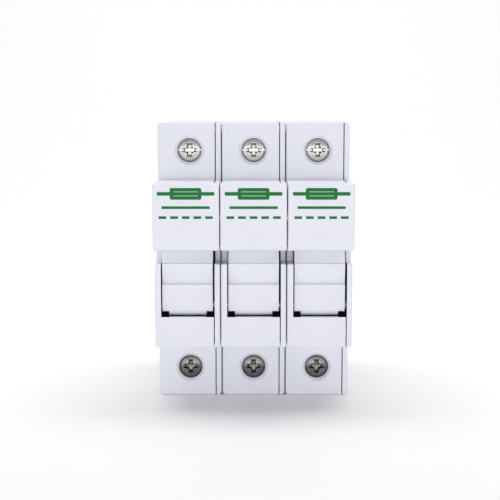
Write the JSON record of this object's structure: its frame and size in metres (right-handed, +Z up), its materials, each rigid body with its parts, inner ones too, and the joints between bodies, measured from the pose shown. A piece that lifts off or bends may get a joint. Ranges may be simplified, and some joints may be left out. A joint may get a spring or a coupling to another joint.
{
  "type": "cartridge fuse holder",
  "caption": "Rail-mounted holder for cartridge fuses, with ganged hinged carriers, cage clamp terminals and spring-loaded rail clips.",
  "frame": {"origin": "middle of the rail seat: on the plane that the mounting rail's flanges press on, at the middle pole's centre line and the rail's axis", "axes": "+Z up along the fuse, towards the upper terminals; +Y back towards the mounting rail, so the handles face -Y; +X to the right when seen from the front, along the rail"},
  "size_m": [0.0538, 0.0685, 0.0775],
  "materials": {
    "moulding": "cool white moulded thermoplastic, satin gloss",
    "nickel": "bright nickel plating over steel or copper",
    "steel": "plain zinc-plated steel",
    "brass": "plain brass, lightly dulled",
    "tinned_copper": "copper strip with dull tin plating",
    "ceramic": "unglazed off-white ceramic"
  },
  "bodies": {
    "base": {"base_shell_1": "moulding", "side_cover_1": "moulding", "pivot_pin_1": "steel", "upper_contact_1": "tinned_copper", "lower_contact_1": "tinned_copper", "upper_jaw_spring_1": "steel", "lower_jaw_spring_1": "steel", "base_shell_2": "moulding", "side_cover_2": "moulding", "pivot_pin_2": "steel", "upper_contact_2": "tinned_copper", "lower_contact_2": "tinned_copper", "upper_jaw_spring_2": "steel", "lower_jaw_spring_2": "steel", "base_shell_3": "moulding", "side_cover_3": "moulding", "pivot_pin_3": "steel", "upper_contact_3": "tinned_copper", "lower_contact_3": "tinned_copper", "upper_jaw_spring_3": "steel", "lower_jaw_spring_3": "steel", "rivet_top_rear": "steel", "rivet_bottom_rear": "steel", "rivet_top_front": "steel", "rivet_bottom_front": "steel", "rivet_hinge_side": "steel"},
    "carrier_1": {"carrier_1": "moulding", "fuse_tube_1": "ceramic", "fuse_cap_top_1": "nickel", "fuse_cap_bottom_1": "nickel", "fuse_element_1": "tinned_copper"},
    "carrier_2": {"carrier_2": "moulding", "fuse_tube_2": "ceramic", "fuse_cap_top_2": "nickel", "fuse_cap_bottom_2": "nickel", "fuse_element_2": "tinned_copper", "handle_tie_bar": "steel"},
    "carrier_3": {"carrier_3": "moulding", "fuse_tube_3": "ceramic", "fuse_cap_top_3": "nickel", "fuse_cap_bottom_3": "nickel", "fuse_element_3": "tinned_copper"},
    "upper_screw_1": {"upper_screw_1": "nickel"},
    "upper_cage_1": {"upper_cage_1": "brass"},
    "lower_screw_1": {"lower_screw_1": "nickel"},
    "lower_cage_1": {"lower_cage_1": "brass"},
    "upper_screw_2": {"upper_screw_2": "nickel"},
    "upper_cage_2": {"upper_cage_2": "brass"},
    "lower_screw_2": {"lower_screw_2": "nickel"},
    "lower_cage_2": {"lower_cage_2": "brass"},
    "upper_screw_3": {"upper_screw_3": "nickel"},
    "upper_cage_3": {"upper_cage_3": "brass"},
    "lower_screw_3": {"lower_screw_3": "nickel"},
    "lower_cage_3": {"lower_cage_3": "brass"},
    "rail_clip_1": {"rail_clip_1": "moulding", "clip_spring_1": "steel"},
    "rail_clip_2": {"rail_clip_2": "moulding", "clip_spring_2": "steel"},
    "rail_clip_3": {"rail_clip_3": "moulding", "clip_spring_3": "steel"}
  },
  "joints": [
    {"name": "carrier_1_hinge", "type": "hinge", "parent": "base", "child": "carrier_1", "pos_m": [-0.018, -0.05415, -0.0112], "axis": [1, 0, 0], "range_deg": [0, 90]},
    {"name": "carrier_2_hinge", "type": "hinge", "parent": "base", "child": "carrier_2", "pos_m": [0, -0.05415, -0.0112], "axis": [1, 0, 0], "range_deg": [0, 90]},
    {"name": "carrier_3_hinge", "type": "hinge", "parent": "base", "child": "carrier_3", "pos_m": [0.018, -0.05415, -0.0112], "axis": [1, 0, 0], "range_deg": [0, 90]},
    {"name": "upper_screw_1_turn", "type": "hinge", "parent": "base", "child": "upper_screw_1", "pos_m": [-0.018, -0.0365, 0.0308], "axis": [0, 1, 0], "range_deg": [0, 2880]},
    {"name": "upper_cage_1_slide", "type": "slide", "parent": "base", "child": "upper_cage_1", "axis": [0, -1, 0], "range_m": [0, 0.0064]},
    {"name": "lower_screw_1_turn", "type": "hinge", "parent": "base", "child": "lower_screw_1", "pos_m": [-0.018, -0.0365, -0.031], "axis": [0, 1, 0], "range_deg": [0, 2880]},
    {"name": "lower_cage_1_slide", "type": "slide", "parent": "base", "child": "lower_cage_1", "axis": [0, -1, 0], "range_m": [0, 0.0064]},
    {"name": "upper_screw_2_turn", "type": "hinge", "parent": "base", "child": "upper_screw_2", "pos_m": [0, -0.0365, 0.0308], "axis": [0, 1, 0], "range_deg": [0, 2880]},
    {"name": "upper_cage_2_slide", "type": "slide", "parent": "base", "child": "upper_cage_2", "axis": [0, -1, 0], "range_m": [0, 0.0064]},
    {"name": "lower_screw_2_turn", "type": "hinge", "parent": "base", "child": "lower_screw_2", "pos_m": [0, -0.0365, -0.031], "axis": [0, 1, 0], "range_deg": [0, 2880]},
    {"name": "lower_cage_2_slide", "type": "slide", "parent": "base", "child": "lower_cage_2", "axis": [0, -1, 0], "range_m": [0, 0.0064]},
    {"name": "upper_screw_3_turn", "type": "hinge", "parent": "base", "child": "upper_screw_3", "pos_m": [0.018, -0.0365, 0.0308], "axis": [0, 1, 0], "range_deg": [0, 2880]},
    {"name": "upper_cage_3_slide", "type": "slide", "parent": "base", "child": "upper_cage_3", "axis": [0, -1, 0], "range_m": [0, 0.0064]},
    {"name": "lower_screw_3_turn", "type": "hinge", "parent": "base", "child": "lower_screw_3", "pos_m": [0.018, -0.0365, -0.031], "axis": [0, 1, 0], "range_deg": [0, 2880]},
    {"name": "lower_cage_3_slide", "type": "slide", "parent": "base", "child": "lower_cage_3", "axis": [0, -1, 0], "range_m": [0, 0.0064]},
    {"name": "rail_clip_1_slide", "type": "slide", "parent": "base", "child": "rail_clip_1", "axis": [0, 0, -1], "range_m": [0, 0.0045], "stiffness_N_per_m": 600, "springref_m": -0.005, "deforming": ["clip_spring_1"]},
    {"name": "rail_clip_2_slide", "type": "slide", "parent": "base", "child": "rail_clip_2", "axis": [0, 0, -1], "range_m": [0, 0.0045], "stiffness_N_per_m": 600, "springref_m": -0.005, "deforming": ["clip_spring_2"]},
    {"name": "rail_clip_3_slide", "type": "slide", "parent": "base", "child": "rail_clip_3", "axis": [0, 0, -1], "range_m": [0, 0.0045], "stiffness_N_per_m": 600, "springref_m": -0.005, "deforming": ["clip_spring_3"]}
  ],
  "couplings": [
    {"joint": "carrier_1_hinge", "follows": "carrier_2_hinge", "ratio": 1},
    {"joint": "carrier_3_hinge", "follows": "carrier_2_hinge", "ratio": 1},
    {"joint": "upper_screw_1_turn", "follows": "upper_cage_1_slide", "rad_per_m": 7854},
    {"joint": "lower_screw_1_turn", "follows": "lower_cage_1_slide", "rad_per_m": 7854},
    {"joint": "upper_screw_2_turn", "follows": "upper_cage_2_slide", "rad_per_m": 7854},
    {"joint": "lower_screw_2_turn", "follows": "lower_cage_2_slide", "rad_per_m": 7854},
    {"joint": "upper_screw_3_turn", "follows": "upper_cage_3_slide", "rad_per_m": 7854},
    {"joint": "lower_screw_3_turn", "follows": "lower_cage_3_slide", "rad_per_m": 7854}
  ]
}
